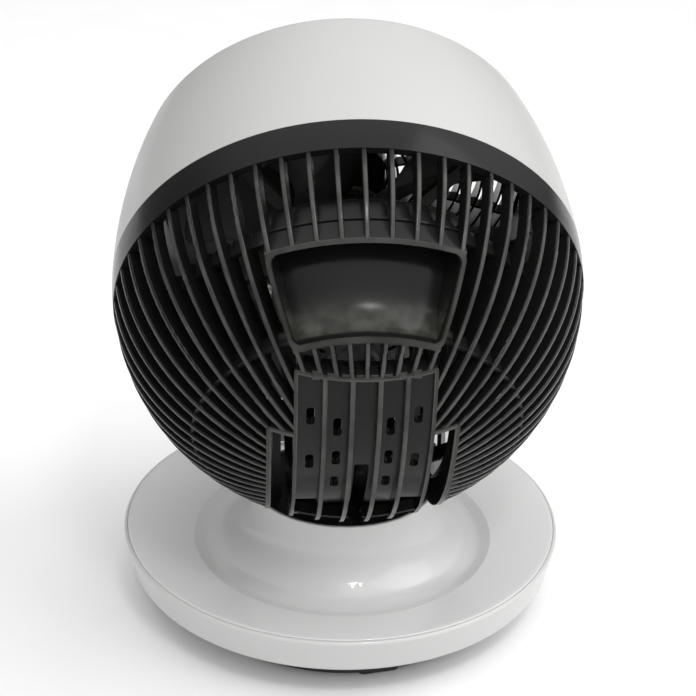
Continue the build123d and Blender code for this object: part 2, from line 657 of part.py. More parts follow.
with BuildPart() as power_board:
    with BuildSketch(Plane.XY.offset(FLOOR_TOP + 2.6)):
        with Locations((0, -81.5)):
            Rectangle(64, 15)
    extrude(amount=1.6)
    with BuildSketch(Plane.XY.offset(FLOOR_TOP + 4.2)):
        with Locations((-20, -81.5)):
            Rectangle(14, 10)
        with Locations((2, -80), (10, -84)):
            Circle(3.0)
        with Locations((23, -81.5)):
            Rectangle(9, 8)
    extrude(amount=3.6)
    with BuildSketch(Plane.XY.offset(FLOOR_TOP)):
        with Locations((-29, -76.5), (29, -76.5), (-29, -86.5), (29, -86.5)):
            Circle(2.0)
    extrude(amount=2.6)
power_board.part.label = "power_board"
export_step(power_board.part, "parts/power_board.step")

# ===========================================================================
# HEAD, tilts on the yoke
# ===========================================================================
MOTOR_S = 11.6        # front face of the motor, in front of the tilt axis
WINDOW_IN, WINDOW_OUT = PLATE_H + 1.7, WINDOW_H - 1.4


def span(s0, s1, r0, r1):
    """Ring section for turning about the head axis, stations in front of the centre."""
    return [(-s0, r0), (-s1, r0), (-s1, r1), (-s0, r1)]


with BuildPart() as front_shell:
    with BuildSketch(meridian(0)):
        with BuildLine():
            ThreePointArc((0.8, 125.0), (-42.5, shell_r(42.5)), (-85.0, shell_r(85.0)))
            Spline((-85.0, shell_r(85.0)), (-87.6, 110.6), (-88.6, 108.6), (-87.4, 107.2), (-84.6, 107.6),
                   tangents=((-1, -0.28), (1, 0.7)))
            Polyline((-84.6, 107.6), (-82.0, shell_r(82.0) - 2.6))
            ThreePointArc((-82.0, shell_r(82.0) - 2.6), (-42.5, shell_r(42.5) - 2.5), (0.8, 122.5))
            Line((0.8, 122.5), (0.8, 125.0))
        make_face()
    revolve(axis=HEAD_AXIS)
    # bosses that carry the air duct, each on a web
    for phi in (30, 90, 150, 210, 270, 330):
        with BuildSketch(front(50)):
            with Locations((108 * sin(radians(phi)), 108 * cos(radians(phi)))):
                Circle(4.0)
            with Locations(Location((112.5 * sin(radians(phi)), 112.5 * cos(radians(phi)), 0), (0, 0, -phi))):
                Rectangle(2.6, 8.0)
    extrude(amount=14.0)
    with BuildSketch(front(50)):
        with Locations(*[(108 * sin(radians(p)), 108 * cos(radians(p))) for p in (30, 90, 150, 210, 270, 330)]):
            Circle(1.4)
    extrude(amount=16.0, mode=Mode.SUBTRACT)
    # notches for the yoke arms
    for side in (1, -1):
        with BuildSketch(lateral(side * WINDOW_IN)):
            with Locations((-4.6, -118)):
                RectangleRounded(14.0, 40, 1.0)
        extrude(amount=side * (WINDOW_OUT - WINDOW_IN), mode=Mode.SUBTRACT)
front_shell.part.label = "front_shell"
export_step(front_shell.part, "parts/front_shell.step")

# rear guard: ribs in planes through the head axis
ribs_at = []
for k in range(-26, 27):
    phi = 6.0 * k
    p = radians(abs(phi))
    if abs(phi) <= 18:
        ribs_at.append((phi, 82.3, POCKET_TOP))
        ribs_at.append((phi, POCKET_BOTTOM + 0.6, degrees(asin(PLATE_W / (RIB_R * cos(p))))))
    elif abs(phi) <= 24:
        ribs_at.append((phi, 82.3, degrees(asin(PLATE_W / (RIB_R * cos(p))))))
    elif abs(phi) <= 42:
        ribs_at.append((phi, 82.3, degrees(asin((PLATE_H + 0.8) / (RIB_R * sin(p))))))
    elif abs(phi) <= 48:
        ribs_at.append((phi, 82.3, degrees(asin(WINDOW_W / (RIB_R * cos(p))))))
    else:
        ribs_at.append((phi, 82.3, degrees(asin(WINDOW_H / (RIB_R * sin(p))))))

THETA_O, THETA_I = 67.6, 41.4
with BuildPart() as rib_set:
    for phi, t0, t1 in ribs_at:
        with BuildSketch(meridian(phi)):
            with BuildLine():
                CenterArc((0, 0), RIB_R, t1, t0 - t1)
                steps = [(t0, RIB_R)]
                r = RIB_SHALLOW_R if t0 > THETA_O else RIB_DEEP_R if t0 > THETA_I else RIB_SHALLOW_R
                Line(on(RIB_R, t0), on(r, t0))
                at = t0
                for limit, radius, following in ((THETA_O, RIB_SHALLOW_R, RIB_DEEP_R), (THETA_I, RIB_DEEP_R, RIB_SHALLOW_R)):
                    if at > limit and t1 < limit:
                        CenterArc((0, 0), radius, limit, at - limit)
                        Line(on(radius, limit), on(following, limit))
                        at, r = limit, following
                CenterArc((0, 0), r, t1, at - t1)
                Line(on(r, t1), on(RIB_R, t1))
            make_face()
    extrude(amount=RIB_T / 2, both=True)
    fillet(rib_set.edges().filter_by(GeomType.CIRCLE).filter_by(lambda e: abs(e.radius - RIB_R) < 0.01), 0.9)

# hollow of the handle recess, turned about the head axis
HOLLOW = [(94.9, 81.3), (88.0, 80.0), (76.0, 82.3), (62.0, 90.8), (46.0, 97.4), (38.5, 99.2)]
with BuildPart() as hollow:
    with BuildSketch(meridian(-POCKET_HALF)):
        with BuildLine():
            Spline(*HOLLOW)
            ThreePointArc((38.5, 99.2), (34.2, 101.6), (37.4, 104.9))
            Line((37.4, 104.9), (62.5, 108.25))
            Polyline((62.5, 108.25), (70.0, 121.2), (109.0, 93.3), (94.9, 81.3))
        make_face()
    revolve(axis=HEAD_AXIS, revolution_arc=2 * POCKET_HALF)
    # the corners of its mouth
    corners = [e for f in hollow.faces().filter_by(GeomType.PLANE).filter_by(lambda f: f.area > 300) for e in f.edges()
               if e.geom_type == GeomType.LINE and e.length < 30]
    fillet(corners, 4.2)

with BuildPart() as recess_frame:
    with BuildSketch(meridian(-POCKET_HALF - 1.1)):
        with BuildLine():
            CenterArc((0, 0), 125.9, POCKET_BOTTOM - 1.0, POCKET_TOP - POCKET_BOTTOM + 2.0)
            Line(on(125.9, POCKET_TOP + 1.0), on(120.5, POCKET_TOP + 1.0))
            CenterArc((0, 0), 120.5, POCKET_BOTTOM - 1.0, POCKET_TOP - POCKET_BOTTOM + 2.0)
            Line(on(120.5, POCKET_BOTTOM - 1.0), on(125.9, POCKET_BOTTOM - 1.0))
        make_face()
    revolve(axis=HEAD_AXIS, revolution_arc=2 * POCKET_HALF + 2.2)
    fillet(recess_frame.edges().filter_by(GeomType.LINE).filter_by(lambda e: abs(e.length - 5.4) < 0.1), 4.8)

# wall of the handle recess; its roof is a row of blocks between the ribs
with BuildPart() as recess_wall:
    with BuildSketch(meridian(-POCKET_HALF - 1.1)):
        with BuildLine():
            Spline((96.6, 78.8), (88.0, 77.5), (75.0, 79.9), (60.5, 88.5), (45.2, 95.0), (37.6, 96.9))
            ThreePointArc((37.6, 96.9), (31.6, 101.4), (36.6, 107.2))
            Line((36.6, 107.2), (60.2, 109.2))
            Polyline((60.2, 109.2), (72.0, 101.0), (88.0, 88.0), (96.6, 78.8))
        make_face()
    revolve(axis=HEAD_AXIS, revolution_arc=2 * POCKET_HALF + 2.2)
    with BuildSketch(meridian(-POCKET_HALF - 1.1)):
        with Locations((47.6, 107.7)):
            Rectangle(1.2, 2.4)
    revolve(axis=HEAD_AXIS, revolution_arc=2 * POCKET_HALF + 2.2)
    for k in range(-4, 5):
        p = radians(6.0 * k)
        out = UP * cos(p) + SIDE * sin(p)
        with BuildSketch(Plane(origin=CENTRE + REAR * 32.0 + out * 104.6, x_dir=REAR.cross(out), z_dir=out)):
            with Locations((0, 4.0)):
                Rectangle(6.4, 8.0)
            with Locations((3.2, 8.0), (-3.2, 8.0)):
                Circle(3.2, mode=Mode.SUBTRACT)
        extrude(amount=8, mode=Mode.SUBTRACT)

with BuildPart() as rear_guard:
    # cross rings
    with BuildSketch(meridian(0)):
        for rho, a, half in ((RING_O[0], RING_O[1], 4.3), (RING_I[0], RING_I[1], 3.6)):
            with Locations((a, rho)):
                Rectangle(2 * half, 2.3)
    revolve(axis=HEAD_AXIS)
    add(rib_set.part)
    # room for the tail plate and for the two yoke windows
    with BuildSketch(front(-130)):
        with Locations((0, (WINDOW_W - 1.2 - 130) / 2)):
            Rectangle(2 * WINDOW_OUT, 130 + WINDOW_W - 1.2)
        with Locations((0, (PLATE_W - 0.9) / 2)):
            Rectangle(2 * PLATE_H, PLATE_W - 0.9)
    extrude(amount=125, mode=Mode.SUBTRACT)
    # rim band and the lip that sits inside the front shell
    with BuildSketch(meridian(0)):
        with BuildLine():
            t = degrees(acos(BAND_A1 / HEAD_R))
            t2 = degrees(acos(BAND_A0 / HEAD_R))
            CenterArc((0, 0), HEAD_R, t, t2 - t)
            Polyline(on(HEAD_R, t2), (BAND_A0, 121.9), (-9.6, 121.7), (-9.6, 119.5), (BAND_A0 + 3, 119.6),
                     (BAND_A1, 120.0), on(HEAD_R, t))
        make_face()
    revolve(axis=HEAD_AXIS)
    add(recess_wall.part)
    add(recess_frame.part)
    add(hollow.part, mode=Mode.SUBTRACT)
    # yoke windows go on through the rim band and its lip
    for side in (1, -1):
        with BuildSketch(front(-60)):
            with Locations((side * (WINDOW_IN + WINDOW_OUT) / 2, -100)):
                Rectangle(WINDOW_OUT - WINDOW_IN, 70)
        extrude(amount=90, mode=Mode.SUBTRACT)
    # tail plate, bent about the tilt axis: open under its lower edge, with a skin from
    # there round to the rim band
    with BuildSketch(lateral(0)):
        with BuildLine():
            t = degrees(asin((PLATE_W - 0.5) / PLATE_R))
            t3 = degrees(asin(PLATE_END / PLATE_R))
            CenterArc((0, 0), PLATE_R, t3, t - t3)
            Line(on(PLATE_R, t3), on(PLATE_R - 3.8, t3))
            CenterArc((0, 0), PLATE_R - 3.8, t3, t - t3)
            Line(on(PLATE_R - 3.8, t), on(PLATE_R, t))
        make_face()
    extrude(amount=PLATE_H + 0.4, both=True)
    with BuildSketch(lateral(0)):
        with BuildLine():
            t4 = degrees(asin(SKIN_TOP / SKIN_R))
            CenterArc((0, 0), SKIN_R, -87.2, 87.2 + t4)
            Line(on(SKIN_R, t4), on(SKIN_R - 2.4, t4))
            CenterArc((0, 0), SKIN_R - 2.4, -87.2, 87.2 + t4)
            Line(on(SKIN_R - 2.4, -87.2), on(SKIN_R, -87.2))
        make_face()
    extrude(amount=PLATE_H + 0.4, both=True)
    with BuildSketch(meridian(165.2)):
        with Locations((3.4, 118.6)):
            Rectangle(2.6, 8.6)
    revolve(axis=HEAD_AXIS, revolution_arc=29.6)
    # its border ribs, its dividing ribs and the outer bars of the windows
    for h, half, depth, top in ((PLATE_H + 0.8, 0.9, 9.0, PLATE_W), (19.0, 1.1, 8.0, PLATE_W), (6.4, 1.1, 8.5, PLATE_W),
                                (WINDOW_H, 1.25, 14.2, WINDOW_W)):
        rr = sqrt(RIB_R ** 2 - h ** 2) + (0.3 if h > 20 else 0)
        for side in (1, -1):
            with BuildSketch(lateral(side * h)):
                with BuildLine():
                    t = degrees(asin(top / rr))
                    CenterArc((0, 0), rr, -86.5, 86.5 + t)
                    Line(on(rr, t), on(rr - depth, t))
                    CenterArc((0, 0), rr - depth, -86.5, 86.5 + t)
                    Line(on(rr - depth, -86.5), on(rr, -86.5))
                make_face()
            extrude(amount=half, both=True)
    # top wall of the plate and top bars of the windows
    with BuildSketch(Plane(origin=CENTRE + UP * (PLATE_W - 0.1), x_dir=SIDE, z_dir=UP)):
        with BuildLine():
            rr = sqrt(RIB_R ** 2 - PLATE_W ** 2) + 0.3
            t = degrees(acos((PLATE_H + 1.6) / rr))
            CenterArc((0, 0), rr, t, 180 - 2 * t)
            Line(on(rr, t), on(rr - 10.5, t))
            CenterArc((0, 0), rr - 10.5, t, 180 - 2 * t)
            Line(on(rr - 10.5, 180 - t), on(rr, 180 - t))
        make_face()
    extrude(amount=1.0, both=True)
    for side in (1, -1):
        with BuildSketch(Plane(origin=CENTRE + UP * WINDOW_W, x_dir=SIDE, z_dir=UP)):
            with BuildLine():
                rr = sqrt(RIB_R ** 2 - WINDOW_W ** 2) + 0.25
                t0 = degrees(acos(side * WINDOW_H / rr))
                t1 = degrees(acos(side * (PLATE_H + 0.8) / rr))
                CenterArc((0, 0), rr, t0, t1 - t0)
                Line(on(rr, t0), on(rr - 9.0, t0))
                CenterArc((0, 0), rr - 9.0, t0, t1 - t0)
                Line(on(rr - 9.0, t1), on(rr, t1))
            make_face()
        extrude(amount=1.3, both=True)
    # tabs under the short ribs
    with BuildSketch(front(-106.0)):
        with Locations(*[(s * h, PLATE_W + 1.0) for s in (1, -1) for h in (3.2, 9.7, 16.4, 23.2)]):
            Rectangle(3.6, 2.0)
    extrude(amount=6.0)
    # cross bar below the plate
    with BuildSketch(Plane(origin=CENTRE + UP * PLATE_BAR, x_dir=SIDE, z_dir=UP)):
        with BuildLine():
            rr = sqrt(RIB_R ** 2 - PLATE_BAR ** 2) - 0.9
            t = degrees(acos((PLATE_H + 0.4) / rr))
            CenterArc((0, 0), rr, t, 180 - 2 * t)
            Line(on(rr, t), on(rr - 6.0, t))
            CenterArc((0, 0), rr - 6.0, t, 180 - 2 * t)
            Line(on(rr - 6.0, 180 - t), on(rr, 180 - t))
        make_face()
    extrude(amount=0.8, both=True)
    # slots in the plate
    with BuildSketch(front(-130)):
        for s in (1, -1):
            for h, w, tall in ((25.3, 41.0, 9.0), (25.3, 12.4, 10.2), (12.6, 34.7, 10.2), (12.6, 14.7, 10.0), (12.6, -5.4, 9.6)):
                with Locations((s * h, w)):
                    RectangleRounded(4.0, tall, 1.7)
            with Locations((s * 26.0, -31.5)):
                Rectangle(11.2, 11.0)
        with Locations((0, 9.4 - 45.0)):
            RectangleRounded(7.2, 90.0, 1.2)
    extrude(amount=44, mode=Mode.SUBTRACT)
rear_guard.part.label = "rear_guard"
export_step(rear_guard.part, "parts/rear_guard.step")

# black duct around the impeller, with the spider that carries the motor
with BuildPart() as air_duct:
    with BuildSketch(meridian(0)):
        with BuildLine():
            Polyline((-MOTOR_S, 118.8), (-MOTOR_S, 112.0))
            Spline((-MOTOR_S, 112.0), (-13.5, 106.0), (-22.0, DUCT_R - 2.2), tangents=((0, -1), (-1, 0)))
            Polyline((-22.0, DUCT_R - 2.2), (-66.5, DUCT_R - 2.2), (-66.5, 112.0), (-64.0, 112.0), (-64.0, DUCT_R),
                     (-24.0, DUCT_R))
            Spline((-24.0, DUCT_R), (-16.2, 107.4), (-MOTOR_S - 2.0, 113.0), tangents=((1, 0), (0, 1)))
            Polyline((-MOTOR_S - 2.0, 113.0), (-MOTOR_S - 2.0, 118.8), (-MOTOR_S, 118.8))
        make_face()
    revolve(axis=HEAD_AXIS)
    with BuildSketch(front(14.2)):
        Circle(33.0)
        for phi in (36, 108, 180, 252, 324):
            with Locations(Location((68 * sin(radians(phi)), 68 * cos(radians(phi)), 0), (0, 0, -phi))):
                Rectangle(7.0, 75.0)
        Circle(12.0, mode=Mode.SUBTRACT)
        with PolarLocations(24.0, 4, start_angle=45):
            Circle(1.9, mode=Mode.SUBTRACT)
    extrude(amount=3.4)
    with BuildSketch(front(60)):
        with Locations(*[(108 * sin(radians(p)), 108 * cos(radians(p))) for p in (30, 90, 150, 210, 270, 330)]):
            Circle(1.8)
        with Locations(*[(POST_R * sin(radians(p)), POST_R * cos(radians(p))) for p in (0, 60, 120, 180, 240, 300)]):
            Circle(1.2)
    extrude(amount=10, mode=Mode.SUBTRACT)
air_duct.part.label = "air_duct"
export_step(air_duct.part, "parts/air_duct.step")

with BuildPart() as duct_screws:
    pts = [(108 * sin(radians(p)), 108 * cos(radians(p))) for p in (30, 90, 150, 210, 270, 330)]
    with BuildSketch(front(66.5)):
        with Locations(*pts):
            Circle(3.0)
    extrude(amount=1.8)
    with BuildSketch(front(66.5)):
        with Locations(*pts):
            Circle(1.35)
    extrude(amount=-14.0)
    with BuildSketch(front(68.3)):
        with Locations(*pts):
            RegularPolygon(1.3, 6)
    extrude(amount=-1.0, mode=Mode.SUBTRACT)
duct_screws.part.label = "duct_screws"
export_step(duct_screws.part, "parts/duct_screws.step")

with BuildPart() as motor_bracket:
    with BuildSketch(front(MOTOR_S)):
        Circle(31.0)
        Rectangle(2 * (ARM_IN - 0.8), 19)
        Circle(12.0, mode=Mode.SUBTRACT)
        with PolarLocations(24.0, 4, start_angle=45):
            Circle(1.6, mode=Mode.SUBTRACT)
    extrude(amount=2.6)
    for side in (1, -1):
        with BuildSketch(lateral(side * (PLATE_H + 0.1))):
            with BuildLine():
                Polyline((-MOTOR_S - 2.6, -9.5), (0, -9.5))
                CenterArc((0, 0), 9.5, -90, 180)
                Polyline((0, 9.5), (-MOTOR_S - 2.6, 9.5), (-MOTOR_S - 2.6, -9.5))
            make_face()
            Circle(PIN_R, mode=Mode.SUBTRACT)
        extrude(amount=side * (ARM_IN - 0.8 - PLATE_H - 0.1))
motor_bracket.part.label = "motor_bracket"
export_step(motor_bracket.part, "parts/motor_bracket.step")

with BuildPart() as tilt_pins:
    for side in (1, -1):
        with BuildSketch(lateral(side * (PLATE_H + 0.1))):
            Circle(PIN_R)
        extrude(amount=side * (ARM_OUT + 2.2 - PLATE_H - 0.1))
        with BuildSketch(lateral(side * (ARM_OUT + 0.8))):
            Circle(6.2)
        extrude(amount=side * 1.4)
tilt_pins.part.label = "tilt_pins"
export_step(tilt_pins.part, "parts/tilt_pins.step")

with BuildPart() as friction_washers:
    for side in (1, -1):
        with BuildSketch(lateral(side * (ARM_IN - 0.8))):
            Circle(8.6)
            Circle(4.2, mode=Mode.SUBTRACT)
        extrude(amount=side * 0.5)
friction_washers.part.label = "friction_washers"
export_step(friction_washers.part, "parts/friction_washers.step")

with BuildPart() as motor_housing:
    with BuildSketch(meridian(0)):
        with BuildLine():
            Polyline((-MOTOR_S, 9.0), (-MOTOR_S, 28.3), (-MOTOR_S + 1.2, 29.5), (44.0, 29.5), (44.0, 27.9),
                     (-MOTOR_S + 1.8, 27.9), (-MOTOR_S + 1.8, 11.0), (-3.6, 11.0), (-3.6, 9.0), (-MOTOR_S, 9.0))
        make_face()
    revolve(axis=HEAD_AXIS)
    # cooling slots
    with BuildSketch(front(-40)):
        with PolarLocations(30, 18):
            Rectangle(8, 2.4)
    extrude(amount=8, mode=Mode.SUBTRACT)
    with BuildSketch(front(MOTOR_S)):
        with PolarLocations(24.0, 4, start_angle=45):
            Circle(1.5)
    extrude(amount=-2, mode=Mode.SUBTRACT)
motor_housing.part.label = "motor_housing"
export_step(motor_housing.part, "parts/motor_housing.step")

with BuildPart() as motor_end_cap:
    with BuildSketch(meridian(0)):
        with BuildLine():
            Polyline((37.0, 9.0), (37.0, 11.0), (44.2, 11.0), (44.2, 29.5), (46.0, 29.5), (48.6, 26.5), (49.4, 14.0),
                     (50.4, 12.0), (50.4, 0), (44.6, 0), (44.6, 9.0), (37.0, 9.0))
        make_face()
    revolve(axis=HEAD_AXIS)
    with BuildSketch(front(-60)):
        with PolarLocations(21, 12):
            SlotOverall(8.5, 2.6)
    extrude(amount=17, mode=Mode.SUBTRACT)
motor_end_cap.part.label = "motor_end_cap"
export_step(motor_end_cap.part, "parts/motor_end_cap.step")

with BuildPart() as motor_screws:
    with BuildSketch(front(17.6)):
        with PolarLocations(24.0, 4, start_angle=45):
            Circle(2.9)
    extrude(amount=1.4)
    with BuildSketch(front(17.6)):
        with PolarLocations(24.0, 4, start_angle=45):
            Circle(1.45)
    extrude(amount=-7.4)
    with BuildSketch(front(19.0)):
        with PolarLocations(24.0, 4, start_angle=45):
            RegularPolygon(1.3, 6)
    extrude(amount=-0.8, mode=Mode.SUBTRACT)
motor_screws.part.label = "motor_screws"
export_step(motor_screws.part, "parts/motor_screws.step")

with BuildPart() as stator:
    with BuildSketch(front(-30)):
        Circle(27.7)
        Circle(16.2, mode=Mode.SUBTRACT)
        with PolarLocations(20.4, 12):
            SlotOverall(7.0, 3.4, mode=Mode.SUBTRACT)
    extrude(amount=26)
stator.part.label = "stator"
export_step(stator.part, "parts/stator.step")

with BuildPart() as stator_windings:
    with BuildSketch(front(-33)):
        Circle(25.0)
        Circle(17.0, mode=Mode.SUBTRACT)
    extrude(amount=2.9)
    with BuildSketch(front(-3.9)):
        Circle(25.0)
        Circle(17.0, mode=Mode.SUBTRACT)
    extrude(amount=2.9)
    fillet(stator_windings.edges().filter_by(GeomType.CIRCLE), 1.0)
    with BuildSketch(front(-31)):
        with PolarLocations(20.4, 12):
            SlotOverall(6.6, 3.0)
    extrude(amount=28)
stator_windings.part.label = "stator_windings"
export_step(stator_windings.part, "parts/stator_windings.step")

with BuildPart() as bearings:
    with BuildSketch(meridian(0)):
        for a in (-6.8, 40.8):
            with Locations((a, 6.53)):
                Rectangle(6.0, 4.94)
    revolve(axis=HEAD_AXIS)
    chamfer(bearings.edges().filter_by(GeomType.CIRCLE).filter_by(lambda e: e.radius > 8.9), 0.4)
bearings.part.label = "bearings"
export_step(bearings.part, "parts/bearings.step")

# ---- turning parts
with BuildPart() as motor_shaft:
    with BuildSketch(front(-44.0)):
        Circle(4.0)
    extrude(amount=44.0 + 62.0)
    chamfer(motor_shaft.edges().filter_by(GeomType.CIRCLE), 0.5)
motor_shaft.part.label = "motor_shaft"
export_step(motor_shaft.part, "parts/motor_shaft.step")

with BuildPart() as rotor:
    with BuildSketch(meridian(0)):
        with BuildLine():
            Polyline((2.6, 4.0), (2.6, 12.0), (4.4, 12.0), (4.4, 15.5), (29.6, 15.5), (29.6, 12.0), (31.4, 12.0), (31.4, 4.0),
                     (2.6, 4.0))
        make_face()
    revolve(axis=HEAD_AXIS)
rotor.part.label = "rotor"
export_step(rotor.part, "parts/rotor.step")


def blade_plane(phi, r, s, pitch):
    """Plane across a blade at radius r; x runs along the blade's chord."""
    p = radians(phi)
    out = UP * cos(p) + SIDE * sin(p)
    turn = REAR.cross(out)
    a = radians(pitch)
    return Plane(origin=CENTRE - REAR * s + out * r, x_dir=turn * cos(a) + REAR * sin(a), z_dir=out)


with BuildPart() as impeller:
    for k in range(BLADES):
        phi = 14 + 360.0 / BLADES * k
        for r, chord, pitch, sweep, thick in ((24.5, 28, 48, 0, 1.9), (46, 50, 35, 3, 1.5), (71, 72, 25, 8, 1.25), (94.5, 86, 19, 14, 1.0)):
            with BuildSketch(blade_plane(phi - sweep, r, 38.0, pitch)):
                Ellipse(chord / 2, thick)
        loft()
    with BuildSketch(front(10)):
        Circle(HUB_R - 1.5)
    extrude(amount=60, mode=Mode.SUBTRACT)
    with BuildSketch(meridian(0)):
        with BuildLine():
            Polyline((-21.5, HUB_R - 2.4), (-21.5, HUB_R), (-46.0, HUB_R))
            Spline((-46.0, HUB_R), (-52.6, 24.2), (-56.0, 16.0), tangents=((-1, 0), (-0.25, -1)))
            Polyline((-56.0, 16.0), (-56.4, 9.0), (-56.4, 4.0), (-24.0, 4.0), (-24.0, 8.0), (-52.0, 8.0), (-52.0, 15.6))
            Spline((-52.0, 15.6), (-49.8, 21.6), (-45.0, HUB_R - 2.4), tangents=((0.25, 1), (1, 0)))
            Line((-45.0, HUB_R - 2.4), (-21.5, HUB_R - 2.4))
        make_face()
    revolve(axis=HEAD_AXIS)
impeller.part.label = "impeller"
export_step(impeller.part, "parts/impeller.step")

with BuildPart() as impeller_nut:
    with BuildSketch(front(56.4)):
        RegularPolygon(7.5, 6)
        Circle(4.0, mode=Mode.SUBTRACT)
    extrude(amount=4.6)
impeller_nut.part.label = "impeller_nut"
export_step(impeller_nut.part, "parts/impeller_nut.step")

# ---- front
with BuildPart() as front_grille:
    with BuildSketch(meridian(0)):
        for k in range(13):
            r = 27.0 + 6.0 * k
            s = 80.0 + 7.5 * (1 - (r / 104.0) ** 2)
            with Locations((-s + 1.9, r)):
                Rectangle(8.8, 1.5)
        with BuildLine():
            Polyline((-76.0, 103.0), (-84.4, 103.0), (-86.0, 104.4), (-86.0, 106.8), (-76.0, 107.1), (-76.0, 103.0))
        make_face()
    revolve(axis=HEAD_AXIS)
    # spokes follow the dome
    for phi in range(15, 375, 30):
        with BuildSketch(meridian(phi)):
            with BuildLine():
                top = [(-(82.0 + 7.5 * (1 - (r / 104.0) ** 2)), r) for r in (26.5, 52.0, 78.0, 103.5)]
                low = [(a + 6.0, r) for a, r in reversed(top)]
                Spline(*top)
                Line(top[-1], low[0])
                Spline(*low)
                Line(low[-1], top[0])
            make_face()
    extrude(amount=0.9, both=True)
    with BuildSketch(front(66.5)):
        with Locations(*[(POST_R * sin(radians(p)), POST_R * cos(radians(p))) for p in (0, 60, 120, 180, 240, 300)]):
            Circle(1.45)
    extrude(amount=10.5)
front_grille.part.label = "front_grille"
export_step(front_grille.part, "parts/front_grille.step")

with BuildPart() as grille_screws:
    pts = [(POST_R * sin(radians(p)), POST_R * cos(radians(p))) for p in (0, 60, 120, 180, 240, 300)]
    with BuildSketch(front(64.0)):
        with Locations(*pts):
            Circle(1.15)
    extrude(amount=-1.4)
    with BuildSketch(front(64.0)):
        with Locations(*pts):
            Circle(0.9)
    extrude(amount=2.4)
grille_screws.part.label = "grille_screws"
export_step(grille_screws.part, "parts/grille_screws.step")

with BuildPart() as front_cap:
    with BuildSketch(meridian(0)):
        with BuildLine():
            Polyline((-84.6, 0), (-84.6, 25.9), (-89.4, 25.9))
            Spline((-89.4, 25.9), (-90.9, 24.0), (-92.0, 12.0), (-92.4, 0), tangents=((-1, 0), (0, -1)))
            Line((-92.4, 0), (-84.6, 0))
        make_face()
    revolve(axis=HEAD_AXIS)
front_cap.part.label = "front_cap"
export_step(front_cap.part, "parts/front_cap.step")
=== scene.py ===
import json
import math

import bpy
from mathutils import Matrix, Vector

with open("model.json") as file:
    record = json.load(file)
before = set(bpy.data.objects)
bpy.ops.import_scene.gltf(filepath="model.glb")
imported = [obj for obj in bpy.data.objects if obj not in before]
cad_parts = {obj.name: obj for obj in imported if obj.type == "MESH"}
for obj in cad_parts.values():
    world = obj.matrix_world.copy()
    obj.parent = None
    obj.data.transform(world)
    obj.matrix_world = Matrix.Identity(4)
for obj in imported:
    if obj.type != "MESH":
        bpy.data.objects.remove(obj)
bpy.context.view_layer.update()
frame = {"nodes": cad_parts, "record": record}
nodes = frame["nodes"]
scene = bpy.context.scene
scene.view_settings.view_transform = "Standard"

SKY_LOW, SKY_HIGH, KEY, LAMP = 0.20, 1.42, 12.0, 3.0

# The head's own axes at rest, as the CAD has them.
TAU = math.radians(28.0)
CENTRE = Vector(next(j for j in frame["record"]["behaviour"]["joints"] if j["name"] == "head_tilt")["pos_m"])
REAR = Vector((0.0, math.cos(TAU), -math.sin(TAU)))
UP = Vector((0.0, math.sin(TAU), math.cos(TAU)))
RIB_R = 0.12470


# ---------------------------------------------------------------- materials
class Nodes:
    """A material's node tree, with short calls to fill it."""

    def __init__(self, name):
        self.mat = bpy.data.materials.new(name)
        self.mat.use_nodes = True
        self.tree = self.mat.node_tree
        self.tree.nodes.clear()
        self.out = self.add("ShaderNodeOutputMaterial")
        self.bsdf = self.add("ShaderNodeBsdfPrincipled")
        self.link(self.bsdf, "BSDF", self.out, "Surface")
        self.coord = self.add("ShaderNodeTexCoord")

    def add(self, kind, **props):
        n = self.tree.nodes.new(kind)
        for k, v in props.items():
            setattr(n, k, v)
        return n

    def link(self, a, out, b, inp):
        self.tree.links.new(a.outputs[out], b.inputs[inp])

    def set(self, **values):
        for k, v in values.items():
            key = k.replace("_", " ")
            s = self.bsdf.inputs.get(key)
            s.default_value = v

    def noise(self, scale, detail=2.0, rough=0.5, stretch=None, distortion=0.0):
        n = self.add("ShaderNodeTexNoise")
        n.inputs["Scale"].default_value = scale
        n.inputs["Detail"].default_value = detail
        n.inputs["Roughness"].default_value = rough
        n.inputs["Distortion"].default_value = distortion
        if stretch:
            m = self.add("ShaderNodeMapping")
            m.inputs["Scale"].default_value = stretch
            self.link(self.coord, "Object", m, "Vector")
            self.link(m, "Vector", n, "Vector")
        else:
            self.link(self.coord, "Object", n, "Vector")
        return n

    def ramp(self, src, out, lo, hi, a=0.35, b=0.65):
        r = self.add("ShaderNodeMapRange", interpolation_type="SMOOTHSTEP")
        r.inputs["From Min"].default_value = a
        r.inputs["From Max"].default_value = b
        r.inputs["To Min"].default_value = lo
        r.inputs["To Max"].default_value = hi
        self.link(src, out, r, "Value")
        return r

    def mix(self, fac, fac_out, a, b):
        m = self.add("ShaderNodeMix", data_type="RGBA")
        for s, v in ((6, a), (7, b)):
            if isinstance(v, tuple):
                m.inputs[s].default_value = (*v, 1.0) if len(v) == 3 else v
            else:
                self.tree.links.new(v, m.inputs[s])
        self.link(fac, fac_out, m, 0)
        return m

    def bump(self, src, out, distance, strength=1.0, under=None):
        b = self.add("ShaderNodeBump")
        b.inputs["Strength"].default_value = strength
        b.inputs["Distance"].default_value = distance
        self.link(src, out, b, "Height")
        if under:
            self.link(under, "Normal", b, "Normal")
        return b


